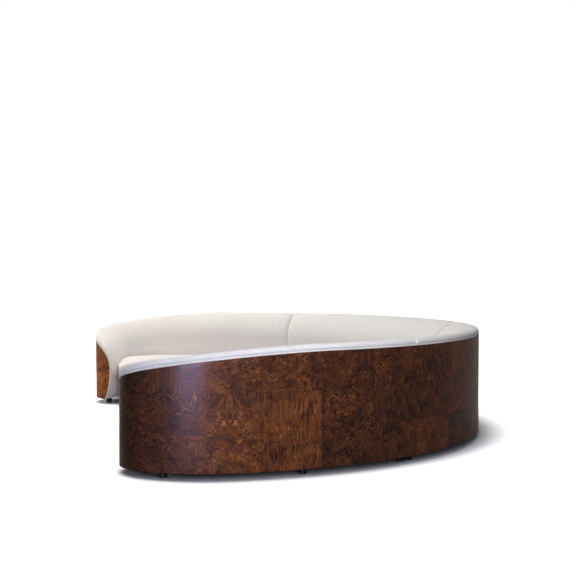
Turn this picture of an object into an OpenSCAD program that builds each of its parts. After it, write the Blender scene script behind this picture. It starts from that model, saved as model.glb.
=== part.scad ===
// Horseshoe sectional sofa in four sections, wrapped in a bent wood shell.
// Plan: +Y is the middle of the back, -Y the open side. Each half follows four arcs
// that run on into one another from the middle of the back to the nose of the arm.
// Places are given by t, the length along the outer face from the middle of the back,
// o, the depth inward from that face, and z, the height above the floor.

/* [Plan] */
// Radius of the outer face at the back
back_r = 1990; // [1900:10:2100]
// Turn of that arc in each half, which is the width of a middle section
back_turn = 58; // [56:1:60]
// Radius of the outer face at the shoulder
shoulder_r = 2190; // [2100:10:2300]
// Turn of the shoulder arc
shoulder_turn = 34; // [32:1:36]
// Radius of the outer face along the arm
arm_r = 750; // [720:10:800]
// Turn of the arm arc
arm_turn = 42; // [40:1:44]
// Radius of the nose at the arm's end
nose_r = 250; // [235:5:265]
// Turn of the nose arc, up to the foremost edge of the wood
nose_turn = 100; // [94:1:104]
// Depth of the sofa from its outer face to the seat's front edge
sofa_depth = 900; // [860:10:940]
// Radius of the seat's corner at the arm
seat_corner_r = 230; // [200:10:260]
// How far the seat's end stops short of the nose
seat_end_setback = 187; // [170:1:205]

/* [Heights] */
// Height of the feet, and so of the wood's lower edge
foot_h = 45; // [40:1:60]
// Height of the wood's top edge along the back
wood_top = 720; // [680:5:740]
// Rise of the upholstered rim over the wood
rim_h = 42; // [36:1:46]
// Length along the outer face at which the top edge starts to fall
slope_start = 2660; // [2560:10:2760]
// Height of the nose's foremost point
nose_z = 264; // [250:1:280]
// Radius of the bowed edge under that point
bow_r = 480; // [440:10:520]
// Height of the seat along the back
seat_h = 388; // [380:1:400]
// Rise of the seat's crown
seat_crown = 16; // [8:1:22]
// Height of the underside of the seat pad
deck_h = 232; // [226:1:240]

/* [Upholstery] */
// Depth of the padded back at the seat
back_thick = 250; // [240:1:265]
// Depth of the padding along the arm
arm_thick = 190; // [180:1:205]
// Depth of the padding at the arm's end
nose_thick = 150; // [140:1:160]
// Radius of the seat's front edge
seat_edge_r = 42; // [32:1:50]
// Radius of the welt cord
welt_r = 4.5; // [3.5:0.5:5]
// How far the padding stands past the wood at the nose
nose_swell = 12; // [8:1:16]

/* [Frame] */
// Thickness of the bent shell
shell_t = 18; // [15:1:20]
// Thickness of the ribs and boards
board_t = 18; // [15:1:20]
// Thickness of the base
base_t = 25; // [20:1:28]
// Width of the base's outer and inner bands
band_w = 130; // [110:5:150]
// Thickness of the cap rail over the ribs
cap_t = 24; // [20:1:28]
// Height of the front seat rail
front_rail_h = 78; // [60:1:90]
// Height of the back seat rail
back_rail_h = 40; // [30:1:50]
// Thickness of the sheet behind the back padding
sheet_t = 4; // [3:0.5:5]
// Number of spaces between ribs in a middle section
bays = 6; // [5:1:7]
// Width of a webbing strap
strap_w = 50; // [40:5:60]
// Thickness of a webbing strap
strap_t = 2; // [1.5:0.5:2.5]
// Thickness of the dust cover
cover_t = 1; // [1:0.5:2]

/* [Feet and connectors] */
// Radius of a foot
foot_r = 22.5; // [20:0.5:26]
// Depth of the outer row of feet from the outer face
foot_in = 100; // [90:1:110]
// Distance of the end feet from a joint
foot_end = 38; // [34:1:50]
// Radius of a foot's threaded stem
stem_r = 5; // [4:0.5:6]
// Radius of a connector pin
pin_r = 4; // [3:0.5:5]
// Room between a pin and the jaw round it
pin_room = 0.3; // [0.2:0.05:0.5]
// Thickness of the connector plates
plate_t = 3; // [2:0.5:4]

/* [Clearances] */
// Half of the gap between two sections
joint_gap = 0.5; // [0.4:0.1:1]
// Distance of an end board from its joint
board_gap = 2; // [1.5:0.5:3]
// Room round soft pieces
soft_gap = 1.5; // [1.2:0.1:2]
// Room between rigid pieces that meet on a curve
fit_gap = 0.5; // [0.4:0.1:0.8]
// Lap of neighbouring arcs of a bent piece, which joins them
lap = 0.02; // [0.01:0.01:0.05]

/* [Hidden] */
$fn = 180;

wood = "#6b3a22";
ply = "#c9a878";
cloth = "#e8e3d8";
black = "#1b1b1b";
steel = "#9a9da1";

degree = 180 / PI;
radii = [back_r, shoulder_r, arm_r, nose_r];
turns = [back_turn, shoulder_turn, arm_turn, nose_turn];

// Turn and length at which each arc starts, and the one at which the last ends
function sum_to(list, n) = n == 0 ? 0 : list[n - 1] + sum_to(list, n - 1);
lengths = [for (k = [0:3]) radii[k] * turns[k] / degree];
turn_from = [for (k = [0:4]) sum_to(turns, k)];
length_from = [for (k = [0:4]) sum_to(lengths, k)];
joint_t = length_from[1];
shoulder_end = length_from[2];
wood_end = length_from[4];

// Start point of each arc, with the middle of the back at y = 0 until it is moved
function arc_step(r, a, b) = r * [sin(b) - sin(a), cos(b) - cos(a)];
function arc_start(k) = k == 0 ? [0, 0]
  : arc_start(k - 1) + arc_step(radii[k - 1], turn_from[k - 1], turn_from[k]);
function outward(a) = [sin(a), cos(a)];
centres_0 = [for (k = [0:3]) arc_start(k) - radii[k] * outward(turn_from[k])];
sofa_y = nose_r - centres_0[3].y;
centres = [for (c = centres_0) c + [0, sofa_y / 2]];

// The arc that t lies on, the turn there, and a point at a depth behind the face
function arc_of(t) = t < length_from[1] ? 0 : t < length_from[2] ? 1 : t < length_from[3] ? 2 : 3;
function turn_at(t) = let (k = arc_of(t)) turn_from[k] + (t - length_from[k]) / radii[k] * degree;
function face(t, o = 0) = let (k = arc_of(t)) centres[k] + (radii[k] - o) * outward(turn_at(t));

// Depth of the padding at the seat, which thins from the back to the arm
arm_len = wood_end - shoulder_end;
arm_from = slope_start;
arm_full = shoulder_end + 0.19 * arm_len;
nose_from = shoulder_end + 0.4 * arm_len;
function ease(u) = let (v = max(0, min(1, u))) v * v * (3 - 2 * v);
function pad_depth(t) =
  back_thick - (back_thick - arm_thick) * ease((t - arm_from) / (arm_full - arm_from));

// The padding's inner line: it runs along the face, then bends over to the nose's inner edge
nose_lead = 75;
nose_start = face(nose_from, pad_depth(nose_from));
nose_bend = nose_start + nose_lead * [cos(turn_at(nose_from)), -sin(turn_at(nose_from))];
nose_edge = face(wood_end, nose_thick);
function bend(v) = (1 - v) * (1 - v) * nose_start + 2 * v * (1 - v) * nose_bend + v * v * nose_edge;
function inner(t) = t <= nose_from ? face(t, pad_depth(t))
  : bend(min(1, (t - nose_from) / (wood_end + nose_swell - nose_from)));
function depth_at(t) = norm(inner(t) - face(t));
function place(t, o, z) = let (p = face(t), q = p + (inner(t) - p) / depth_at(t) * o) [q.x, q.y, z];
function square_to(t, o, z) = let (p = face(t, o)) [p.x, p.y, z];

// Height of the wood's top and bottom edges, and of the padding's crest and bottom
fall_p = 1.65;
fall_q = 3.2;
function along(t, swell) = max(0, min(1, (t - slope_start) / (wood_end + swell - slope_start)));
function top_edge(t, swell = 0) =
  nose_z + (wood_top - nose_z) * pow(1 - pow(along(t, swell), fall_p), 1 / fall_q);
function low_edge(t, swell = 0) = let (e = max(0, wood_end + swell - t))
  e >= bow_r ? foot_h : max(foot_h, nose_z - sqrt(2 * bow_r * e - e * e));
rim_min = 15;
function rim_at(t) = max(rim_min, rim_h * (1 - pow(along(t, nose_swell), 6)));

// Faces of the frame, counted inward from the outer face
frame_o = shell_t + soft_gap;
panel_t = 16;
front_o = sofa_depth - 12;
frame_end = front_o - panel_t - fit_gap;
base_z = foot_h + cover_t;
rib_z = base_z + base_t;
rear_share = 0.5;
function rear(t) = rear_share * depth_at(t);
rail_room = 12;

// The seat's front edge past the shoulder: straight, round the corner, then across to the nose
seat_end_y = sofa_y / 2 - (sofa_y - seat_end_setback);
function line_from() = face(shoulder_end, sofa_depth);
function path_parts() = let (a = line_from()) [
  a.y - (seat_end_y + seat_corner_r), PI / 2 * seat_corner_r,
  nose_edge.x - a.x - seat_corner_r - seat_edge_r / 2];
path_len = path_parts()[0] + path_parts()[1] + path_parts()[2];
function front_path(f, inset = 0) = let (a = line_from(), n = path_parts(), l = f * path_len)
  l < n[0] ? [a.x + inset, a.y - l]
  : l < n[0] + n[1] ? let (u = (l - n[0]) / seat_corner_r * degree)
      [a.x + seat_corner_r - (seat_corner_r - inset) * cos(u),
       seat_end_y + seat_corner_r - (seat_corner_r - inset) * sin(u)]
  : [a.x + seat_corner_r + l - n[0] - n[1], seat_end_y + inset];

// A closed solid through sections that all have the same number of points. Its ends are
// closed by triangles between points taken in turn from the two ends of the outline.
function cap(n) = [for (i = [0:floor((n - 1) / 2) - 1]) each i + 1 < n - 2 - i
  ? [[i, i + 1, n - 1 - i], [i + 1, n - 2 - i, n - 1 - i]] : [[i, i + 1, n - 1 - i]]];
module loft(sections) {
  n = len(sections[0]);
  m = len(sections);
  sides = [for (i = [0:m - 2], j = [0:n - 1])
    let (a = i * n + j, b = i * n + (j + 1) % n) each [[a, b + n, b], [a, a + n, b + n]]];
  last = [for (f = cap(n)) [for (j = [2:-1:0]) f[j] + (m - 1) * n]];
  polyhedron([for (s = sections) each s], concat(sides, cap(n), last), convexity = 8);
}

// A flat outline, x as depth and y as height, run along the face from one length to another
module run(from, to) {
  for (k = [0:3]) {
    a = max(from, length_from[k]);
    b = min(to, length_from[k + 1]);
    if (b > a) {
      turn_a = turn_from[k] + (a - length_from[k]) / radii[k] * degree;
      turn_b = turn_from[k] + (b + (b < to ? lap : 0) - length_from[k]) / radii[k] * degree;
      translate([centres[k].x, centres[k].y, 0])
        rotate([0, 0, 90 - turn_b])
          rotate_extrude(angle = turn_b - turn_a)
            translate([radii[k], 0]) mirror([1, 0]) children();
    }
  }
}

// A board that runs inward from the face at t: x inward, y up, its thickness along the face
module board_at(t, shift = 0, thick = board_t) {
  p = face(t);
  d = inner(t) - p;
  translate([p.x, p.y, 0])
    rotate([0, 0, atan2(d.y, d.x)])
      translate([0, -shift, 0])
        rotate([90, 0, 0])
          translate([0, 0, -thick / 2]) linear_extrude(thick) children();
}

// Lengths at which the long pieces get a section: even steps, closer at the ends.
// Pieces that lie on one another along the arm share one grid, so their facets match.
function steps(from, to, n) = [for (i = [0:n]) from + (to - from) * i / n];
hook_end = wood_end - 89;
arm_grid = concat(
  steps(joint_t, slope_start, 5),
  [for (i = [1:12]) slope_start + (nose_from - slope_start) * i / 12],
  [for (i = [1:12]) nose_from + (hook_end - nose_from) * i / 12]);
function grid(from, to) = concat([from], [for (t = arm_grid) if (t > from + 8 && t < to - 8) t], [to]);
end_round = [0, 3, 9, 20];
function with_ends(from, to, n) = concat(
  [for (e = end_round) from + e],
  [for (i = [1:n - 1]) from + (to - from) * i / n],
  [for (i = [3:-1:0]) to - end_round[i]]);
end_depth = 10;
function pinch(t, from, to) = let (d = min(t - from, to - t, 20))
  end_depth * (1 - sqrt(1 - pow(1 - d / 20, 2)));
function drawn_in(t, from, to) = min(pinch(t, from, to), end_depth);

// Outline of the padded back at t: hook over the shell, crest, roll, inner face
roll_n = 1.65;
roll_steps = 8;
roll_full = 282;
crest_o = 34;
inner_share = 0.91;
hook = 84;
welt_side = 2.4 * welt_r;
function back_outline(t, back_o, bottom, step_o, step_z, pinched) = let (
    h = top_edge(t), k = rim_at(t) - pinched, g = top_edge(t, nose_swell), c = g + k,
    d = depth_at(t) - pinched, drop = max(rim_min + 1, roll_full - (wood_top - h) * 0.6),
    low = min(seat_h, c - drop - 4), floor_z = min(bottom, low - 3))
  concat(
    [[back_o, floor_z], [back_o, max(step_z, floor_z + 1)], [step_o, max(step_z, floor_z + 1)],
     [step_o, h + 0.8], [welt_side, h + 0.8], [welt_side, g + 0.3 * k], [4, g + 0.34 * k],
     [1.5, g + 0.5 * k], [6, g + 0.74 * k], [18, c - 0.06 * k]],
    [for (i = [0:roll_steps]) let (a = 90 * i / roll_steps)
      [crest_o + (d * inner_share - crest_o) * pow(sin(a), 2 / roll_n),
       c - drop * (1 - pow(cos(a), 2 / roll_n))]],
    [[d, low], [d, floor_z]]);
function back_section(t, from, to) =
  [for (p = back_outline(t, rear(t), deck_h + 2, frame_o, top_edge(t) - hook, drawn_in(t, from, to)))
    place(t, p.x, p.y)];

// At the nose the padding goes down to the base, and its lip laps the wood's bowed front edge
function nose_section(t) = let (
    wood_low = low_edge(t), low = low_edge(t, nose_swell) + 2, lapped = low_edge(t - 12) > foot_h + 3,
    o = lapped ? welt_side : frame_o + 0.4,
    step_o = t > wood_end ? o + fit_gap : frame_o)
  [for (p = back_outline(t, o, low, step_o, lapped ? wood_low - 2.5 : low + 1, 0)) place(t, p.x, p.y)];

// Outline of a seat from its back line to its front line, over a length w
function seat_outline(w, pinched) = let (
    r = min(seat_edge_r, 0.3 * w), b = min(14, 0.1 * w), rise = seat_crown * min(1, w / 300),
    top = seat_h - pinched, lean = min(pinched, 0.1 * w))
  concat(
    [[lean, deck_h + 1], [lean, top - b], [lean + 0.3 * b, top - 0.3 * b]],
    [for (i = [0:5]) let (u = i / 5) [lean + b + (w - r - b - 2 * lean) * u, top + rise * sin(150 * u)]],
    [for (i = [1:4]) let (a = 90 * i / 4)
      [w - lean - r + r * sin(a), top + rise * 0.5 - (r + rise * 0.5) * (1 - cos(a))]],
    [[w - lean - 4, deck_h + 1]]);
function seat_section(back, front, pinched) = let (w = norm(front - back), d = (front - back) / w)
  [for (p = seat_outline(w, pinched)) [back.x + d.x * p.x, back.y + d.y * p.x, p.y]];
function seat_back(t) = let (q = place(t, depth_at(t) + soft_gap, 0)) [q.x, q.y];

// Where the ribs, feet and straps of each section stand
middle_ribs = [for (i = [1:bays - 1]) joint_t * i / bays];
arm_ribs = [for (i = [1:4]) joint_t + (shoulder_end - joint_t) * i / 4];
arm_posts = [for (share = [0.19, 0.385, 0.58, 0.73]) shoulder_end + share * arm_len];
nose_board = hook_end - 15;
arm_bearers = [seat_end_y + 60, seat_end_y + 235];
middle_feet = [foot_end, joint_t / 2, joint_t - foot_end];
arm_feet = [joint_t + foot_end, joint_t + 0.62 * (shoulder_end - joint_t), shoulder_end + 0.42 * arm_len, wood_end - 142];

// Outline of a rib: seat bearer, two lap notches for the rails, and a post for the back
notch = board_t + 2 * fit_gap;
module rib_outline(t, notched = true) {
  back_rail = depth_at(t) + rail_room;
  slant = abs(depth_at(t + board_t / 2) - depth_at(t - board_t / 2));
  difference() {
    union() {
      translate([frame_o, rib_z])
        square([frame_end - frame_o, deck_h - 4 - rib_z]);
      post_outline(t);
    }
    if (notched) {
      translate([frame_end - notch, deck_h - 2 - front_rail_h - fit_gap])
        square([notch + 1, front_rail_h + 4]);
      translate([back_rail - fit_gap - slant, deck_h - 2 - back_rail_h - fit_gap])
        square([notch + 2 * slant, back_rail_h + 4]);
      for (x = [depth_at(t) + 170, depth_at(t) + 400])
        translate([x, (rib_z + deck_h) / 2 - 8]) circle(r = 38);
    }
  }
}

// The post's top stays under the sloping rail, and its edges off the turning shell and sheet
function sheet_back(t) = rear(t) - sheet_t - soft_gap - fit_gap;
module post_outline(t) {
  off = t > nose_from ? 2 + (t - nose_from) * 0.01 : 0;
  translate([frame_o + off, rib_z])
    square([sheet_back(t) - 2 * off - frame_o,
            top_edge(t + board_t / 2 + 4) - hook - cap_t - fit_gap - rib_z]);
}

// Windows in the end boards for the connectors
link_o = [for (share = [0.422, 0.8]) share * sofa_depth];
link_z = 150;
link_w = 64;
link_h = 46;
module end_board(t, shift) {
  board_at(t, shift) difference() {
    rib_outline(t, false);
    for (x = link_o) translate([x - link_w / 2, link_z - link_h / 2]) square([link_w, link_h]);
  }
}

// Shell
module middle_shell() {
  color(wood) run(joint_gap, joint_t - joint_gap)
    translate([0, foot_h]) square([shell_t, wood_top - foot_h]);
}

nose_steps = [for (i = [1:12]) hook_end + (wood_end - hook_end) * sin(90 * i / 12.3)];
module arm_shell() {
  past = 10;
  color(wood) intersection() {
    run(joint_t - past, wood_end)
      translate([0, foot_h - past]) square([shell_t, wood_top - foot_h + 2 * past]);
    loft([for (t = concat(grid(joint_t + joint_gap, hook_end), nose_steps)) [
      place(t, -5, low_edge(t)), place(t, -5, top_edge(t)),
      place(t, shell_t + 5, top_edge(t)), place(t, shell_t + 5, low_edge(t))]]);
  }
}

// Base frame
function plan_edge(from, to, n, o) = [for (t = steps(from, to, n)) face(t, o)];
function arm_plan(edge_o, inset, start) = concat(
  plan_edge(start, hook_end, 60, edge_o),
  let (q = place(hook_end, depth_at(hook_end) + 11, 0)) [[q.x, q.y]],
  [for (i = [14:-1:0]) front_path(i / 14, inset)],
  [for (t = steps(shoulder_end, start, 20)) if (t < shoulder_end) face(t, sofa_depth - inset)]);

module window(a, b) {
  polygon(concat(plan_edge(a, b, 4, frame_o + band_w), plan_edge(b, a, 4, frame_end - band_w)));
}

module stem_holes(spots, r) {
  for (p = spots) translate([p.x, p.y, 0]) cylinder(r = r, h = rib_z + 10);
}

bar = 60;
module middle_base() {
  color(ply) difference() {
    run(board_gap, joint_t - board_gap)
      translate([frame_o, base_z]) square([frame_end - frame_o, base_t]);
    for (i = [0:bays - 1]) let (a = joint_t * i / bays, b = joint_t * (i + 1) / bays)
      translate([0, 0, base_z - 1])
        linear_extrude(base_t + 2) window(a + (i == 0 ? bar + 20 : bar), b - (i == bays - 1 ? bar + 20 : bar));
    stem_holes(middle_foot_spots, stem_r + 0.2);
  }
}

module arm_base() {
  n = len(arm_ribs);
  color(ply) difference() {
    translate([0, 0, base_z]) linear_extrude(base_t)
      polygon(arm_plan(frame_o, sofa_depth - frame_end, joint_t + board_gap));
    translate([0, 0, base_z - 1]) linear_extrude(base_t + 2) {
      for (i = [0:n - 1]) let (a = i == 0 ? joint_t + 20 : arm_ribs[i - 1], b = arm_ribs[i])
        window(a + bar, b - bar);
    }
    stem_holes(arm_foot_spots, stem_r + 0.2);
  }
}

// Ribs
module middle_rib_set() {
  color(ply) for (t = middle_ribs) board_at(t) rib_outline(t);
}

module bearer(y, from_x, to_x, cut) {
  translate([from_x, y + board_t / 2, rib_z])
    rotate([90, 0, 0]) linear_extrude(board_t) difference() {
      square([to_x - from_x, deck_h - 4 - rib_z]);
      translate([-1, deck_h - 2 - front_rail_h - fit_gap - rib_z])
        square([cut + 1, front_rail_h + 4]);
    }
}

module arm_rib_set() {
  front_x = line_from().x + sofa_depth - frame_end;
  color(ply) {
    for (t = arm_ribs) board_at(t) rib_outline(t);
    for (t = arm_posts) board_at(t) post_outline(t);
    bearer(arm_bearers[1], front_x, front_x + 600, notch);
    bearer(arm_bearers[0], front_x + 165, front_x + 440, 0);
  }
}

// End boards, with the arm's nose board
module middle_end_boards() {
  color(ply) {
    end_board(0, -board_gap - board_t / 2);
    end_board(joint_t - 0.001, board_gap + board_t / 2);
  }
}

module arm_end_boards() {
  color(ply) {
    end_board(joint_t, -board_gap - board_t / 2);
    board_at(nose_board) post_outline(nose_board);
  }
}

// Cap rail over the ribs
module cap_outline(t) {
  translate([frame_o, top_edge(t) - hook - cap_t])
    square([sheet_back(t) - frame_o, cap_t - fit_gap]);
}

rail_end = board_gap + board_t + fit_gap;
function end_at(o, r) = rail_end * r / (r - o);
module middle_cap_rail() {
  color(ply) run(rail_end, joint_t - rail_end) cap_outline(0);
}

cap_stop = nose_board - 30;
module arm_cap_rail() {
  color(ply) loft([for (t = grid(joint_t + rail_end, cap_stop))
    let (h = top_edge(t) - hook, o = sheet_back(t))
    [place(t, frame_o, h - cap_t), place(t, frame_o, h - fit_gap),
     place(t, o, h - fit_gap), place(t, o, h - cap_t)]]);
}

// Sheet behind the back padding
module middle_back_sheet() {
  color(ply) run(rail_end, joint_t - rail_end)
    translate([rear(0) - soft_gap - sheet_t, deck_h + 4])
      square([sheet_t, wood_top - hook - fit_gap - deck_h - 4]);
}

module arm_back_sheet() {
  color(ply) loft([for (t = grid(joint_t + rail_end, cap_stop))
    let (h = top_edge(t) - hook - fit_gap, o = rear(t) - soft_gap)
    [place(t, o - sheet_t, deck_h + 4), place(t, o - sheet_t, h),
     place(t, o, h), place(t, o, deck_h + 4)]]);
}

// Padded back and arm
module middle_back_pad() {
  a = joint_gap;
  b = joint_t - joint_gap;
  color(cloth) loft([for (t = with_ends(a, b, 16)) back_section(t, a, b)]);
}

module arm_back_pad() {
  a = joint_t + joint_gap;
  far = 2 * wood_end;
  along_arm = concat([for (e = end_round) a + e], [for (t = arm_grid) if (t > a + 30) t]);
  to_nose = concat([hook_end + 5], nose_steps,
    [for (u = [0.2, 0.45, 0.7, 0.87, 0.96]) wood_end + nose_swell * u]);
  color(cloth) loft(concat(
    [for (t = along_arm) back_section(t, a, far)],
    [for (t = to_nose) nose_section(t)]));
}

// Seat rails
module middle_seat_rails() {
  o = depth_at(0) + rail_room;
  e = end_at(frame_end, back_r);
  color(ply) run(e, joint_t - e) {
    translate([frame_end - board_t, deck_h - 2 - front_rail_h]) square([board_t, front_rail_h]);
    translate([o, deck_h - 2 - back_rail_h]) square([board_t, back_rail_h]);
  }
}

rail_inset = sofa_depth - frame_end;
function arm_front(inset, start, stop, n) = concat(
  [for (t = steps(start, shoulder_end, 16)) if (t < shoulder_end) face(t, sofa_depth - inset)],
  [for (i = [0:n]) front_path(stop * i / n, inset)]);
module arm_seat_rails() {
  stop = 0.82;
  n = 18;
  start = joint_t + end_at(frame_end, shoulder_r);
  color(ply) {
    translate([0, 0, deck_h - 2 - front_rail_h]) linear_extrude(front_rail_h) polygon(concat(
      arm_front(rail_inset, start, stop, n),
      [for (i = [0:n + 16]) let (q = arm_front(rail_inset + board_t, start, stop, n))
        q[len(q) - 1 - i]]));
    loft([for (t = steps(start, shoulder_end + 300, 22))
      let (o = depth_at(t) + rail_room, top = deck_h - 2)
      [place(t, o, top - back_rail_h), place(t, o, top),
       place(t, o + board_t, top), place(t, o + board_t, top - back_rail_h)]]);
  }
}

// Webbing over the seat rails
module strap(t, o) {
  board_at(t, 0, strap_w) translate([o, deck_h - 2 + fit_gap / 2])
    square([frame_end - o, strap_t]);
}

module middle_webbing() {
  n = 2 * bays;
  color(black) for (i = [0:n - 1]) strap(joint_t * (i + 0.5) / n, depth_at(0) + rail_room);
}

module arm_webbing() {
  n = 8;
  r = seat_corner_r - rail_inset;
  y0 = line_from().y;
  color(black) {
    for (i = [0:n - 1]) let (t = joint_t + (shoulder_end - joint_t) * (i + 0.5) / n)
      strap(t, depth_at(t) + rail_room);
    for (i = [0:2]) let (
        y = y0 - 60 - 110 * i - strap_w,
        dy = max(0, seat_end_y + seat_corner_r - y),
        x = line_from().x + seat_corner_r - sqrt(r * r - dy * dy) + 1)
      translate([x, y, deck_h - 2 + fit_gap / 2]) cube([line_from().x + 590 - x, strap_w, strap_t]);
  }
}

// Padded seat
module middle_seat_pad() {
  a = joint_gap;
  b = joint_t - joint_gap;
  color(cloth) loft([for (t = with_ends(a, b, 12))
    seat_section(seat_back(t), face(t, sofa_depth), drawn_in(t, a, b))]);
}

module arm_seat_pad() {
  a = joint_t + joint_gap;
  n = 20;
  color(cloth) loft(concat(
    [for (e = end_round) seat_section(seat_back(a + e), face(a + e, sofa_depth), drawn_in(a + e, a, 2 * a))],
    [for (i = [1:8]) let (t = a + (shoulder_end - a) * i / 8)
      seat_section(seat_back(t), face(t, sofa_depth), 0)],
    [for (i = [1:n]) let (v = i / n, t = shoulder_end + (wood_end - 30 - shoulder_end) * v)
      seat_section(seat_back(t), front_path(v), i < n - 2 ? 0 : 3 * (i - n + 3))]));
}

// Upholstered front panel
panel_z = [foot_h + 2, deck_h - fit_gap];
module middle_front_panel() {
  color(cloth) run(joint_gap, joint_t - joint_gap)
    translate([front_o - panel_t, panel_z[0]]) square([panel_t, panel_z[1] - panel_z[0]]);
}

module arm_front_panel() {
  stop = 1 + (seat_edge_r / 2 - 3) / path_len;
  n = 22;
  start = joint_t + joint_gap;
  color(cloth) translate([0, 0, panel_z[0]]) linear_extrude(panel_z[1] - panel_z[0]) polygon(concat(
    arm_front(sofa_depth - front_o, start, stop, n),
    [for (i = [0:n + 16]) let (q = arm_front(sofa_depth - front_o + panel_t, start, stop, n))
      q[len(q) - 1 - i]]));
}

// Welt cord along the wood's edge
welt_o = welt_r + 0.5;
module middle_welt() {
  color(cloth) run(joint_gap, joint_t - joint_gap)
    translate([welt_o, wood_top + welt_r + 0.2]) circle(r = welt_r, $fn = 24);
}

function edge_point(u) = u <= 1
  ? let (t = joint_t + joint_gap + (wood_end - joint_t - joint_gap) * sin(90 * u)) [t, top_edge(t)]
  : let (z = nose_z - (nose_z - foot_h) * (u - 1))
    [wood_end - bow_r + sqrt(bow_r * bow_r - pow(nose_z - z, 2)), z];
function edge_out(u) = let (a = edge_point(max(0, u - 0.004)), b = edge_point(min(2, u + 0.004)),
  d = (b - a) / norm(b - a)) [-d.y, d.x];
module arm_welt() {
  sides = 6;
  color(cloth) loft([for (u = concat([for (i = [0:40]) i / 40], [for (i = [1:10]) 1 + i / 10]))
    let (p = edge_point(u), m = edge_out(u))
    [for (j = [0:sides - 1]) let (a = -360 * j / sides, k = welt_r * (1 + sin(a)) + 0.2)
      square_to(p[0] + m[0] * k, welt_o + welt_r * cos(a), p[1] + m[1] * k)]]);
}

// Dust cover under the base
module middle_dust_cover() {
  color(black) difference() {
    run(board_gap + 1, joint_t - board_gap - 1)
      translate([frame_o + 1, foot_h]) square([frame_end - frame_o - 2, cover_t]);
    stem_holes(middle_foot_spots, stem_r + 0.2);
  }
}

module arm_dust_cover() {
  color(black) difference() {
    translate([0, 0, foot_h]) linear_extrude(cover_t)
      polygon(arm_plan(frame_o + 1, rail_inset + 1, joint_t + board_gap + 1));
    stem_holes(arm_foot_spots, stem_r + 0.2);
  }
}

// Feet: a turned black foot on a threaded stem
stem_len = 20;
foot_edge = 2;
inner_foot_o = frame_end - 70;
middle_foot_spots = concat(
  [for (t = middle_feet) face(t, foot_in)], [for (t = [foot_end * 2, joint_t / 2, joint_t - foot_end * 2]) face(t, inner_foot_o)]);
arm_foot_spots = concat(
  [for (t = arm_feet) face(t, foot_in)],
  [face(joint_t + foot_end * 2, inner_foot_o), face(joint_t + 650, inner_foot_o),
   front_path(0.36, 110)]);
module foot(p) {
  translate([p.x, p.y, 0]) rotate_extrude($fn = 48) polygon([
    [0, 0], [foot_r - foot_edge, 0], [foot_r, foot_edge], [foot_r, foot_h],
    [stem_r, foot_h], [stem_r, foot_h + stem_len], [0, foot_h + stem_len]]);
}

module feet(spots) {
  color(black) for (p = spots) foot(p);
}

// Connectors: a jaw on one section closes over a pin on the next, through the end boards
jaw_reach = 14;
pin_y = 9;
jaw_gap = 2 * (pin_r + pin_room);
link_in = board_gap + board_t + fit_gap;
module at_link(t, o, side) {
  p = face(t, o);
  translate([p.x, p.y, link_z])
    rotate([0, 0, -turn_at(t)]) mirror([side < 0 ? 1 : 0, 0, 0]) children();
}

// The jaw's plate lies behind the board at negative x, and its lips reach across to positive x
module jaw() {
  w = link_w - 24;
  translate([-link_in - plate_t, -link_w / 2 - 12, -link_h / 2 - 8])
    cube([plate_t, link_w + 24, link_h + 16]);
  translate([0, w / 2, 0]) rotate([90, 0, 0]) linear_extrude(w) for (s = [0, 1]) mirror([0, s])
    polygon([[-link_in - plate_t, jaw_gap / 2], [jaw_reach - 3, jaw_gap / 2], [jaw_reach, jaw_gap / 2 + 3],
      [jaw_reach, jaw_gap / 2 + 3 + plate_t], [jaw_reach - 4, jaw_gap / 2 + plate_t],
      [-link_in - plate_t, jaw_gap / 2 + plate_t]]);
}

// The pin's plate lies behind the other board, and two ears hold the pin in the joint
module pin_bracket() {
  ear = link_w / 2 - 6;
  translate([link_in, -link_w / 2 - 12, -link_h / 2 - 8])
    cube([plate_t, link_w + 24, link_h + 16]);
  for (s = [-1, 1]) translate([0, s * ear + plate_t / 2, 0]) rotate([90, 0, 0]) linear_extrude(plate_t) {
    translate([pin_y, -8]) square([link_in - pin_y, 16]);
    translate([pin_y, 0]) circle(r = 8, $fn = 48);
  }
  translate([pin_y, ear, 0]) rotate([90, 0, 0]) cylinder(r = pin_r, h = 2 * ear, $fn = 48);
}

module left_middle_jaw_set() {
  color(steel) for (o = link_o) {
    at_link(0, o, 1) jaw();
    mirror([1, 0, 0]) at_link(joint_t, o, 1) jaw();
  }
}

module right_middle_connector_set() {
  color(steel) for (o = link_o) {
    at_link(0, o, 1) pin_bracket();
    at_link(joint_t, o, 1) jaw();
  }
}

module arm_pins() {
  color(steel) for (o = link_o) at_link(joint_t, o, 1) pin_bracket();
}

// The left half mirrors the right one
module left() {
  mirror([1, 0, 0]) children();
}

module left_arm_shell() { left() arm_shell(); }
module left_arm_base() { left() arm_base(); }
module left_arm_ribs() { left() arm_rib_set(); }
module left_arm_end_boards() { left() arm_end_boards(); }
module left_arm_cap_rail() { left() arm_cap_rail(); }
module left_arm_back_sheet() { left() arm_back_sheet(); }
module left_arm_back_pad() { left() arm_back_pad(); }
module left_arm_seat_rails() { left() arm_seat_rails(); }
module left_arm_webbing() { left() arm_webbing(); }
module left_arm_seat_pad() { left() arm_seat_pad(); }
module left_arm_front_panel() { left() arm_front_panel(); }
module left_arm_welt() { left() arm_welt(); }
module left_arm_dust_cover() { left() arm_dust_cover(); }
module left_arm_feet() { left() feet(arm_foot_spots); }
module left_arm_pins() { left() arm_pins(); }
module left_middle_shell() { left() middle_shell(); }
module left_middle_base() { left() middle_base(); }
module left_middle_ribs() { left() middle_rib_set(); }
module left_middle_end_boards() { left() middle_end_boards(); }
module left_middle_cap_rail() { left() middle_cap_rail(); }
module left_middle_back_sheet() { left() middle_back_sheet(); }
module left_middle_back_pad() { left() middle_back_pad(); }
module left_middle_seat_rails() { left() middle_seat_rails(); }
module left_middle_webbing() { left() middle_webbing(); }
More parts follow.
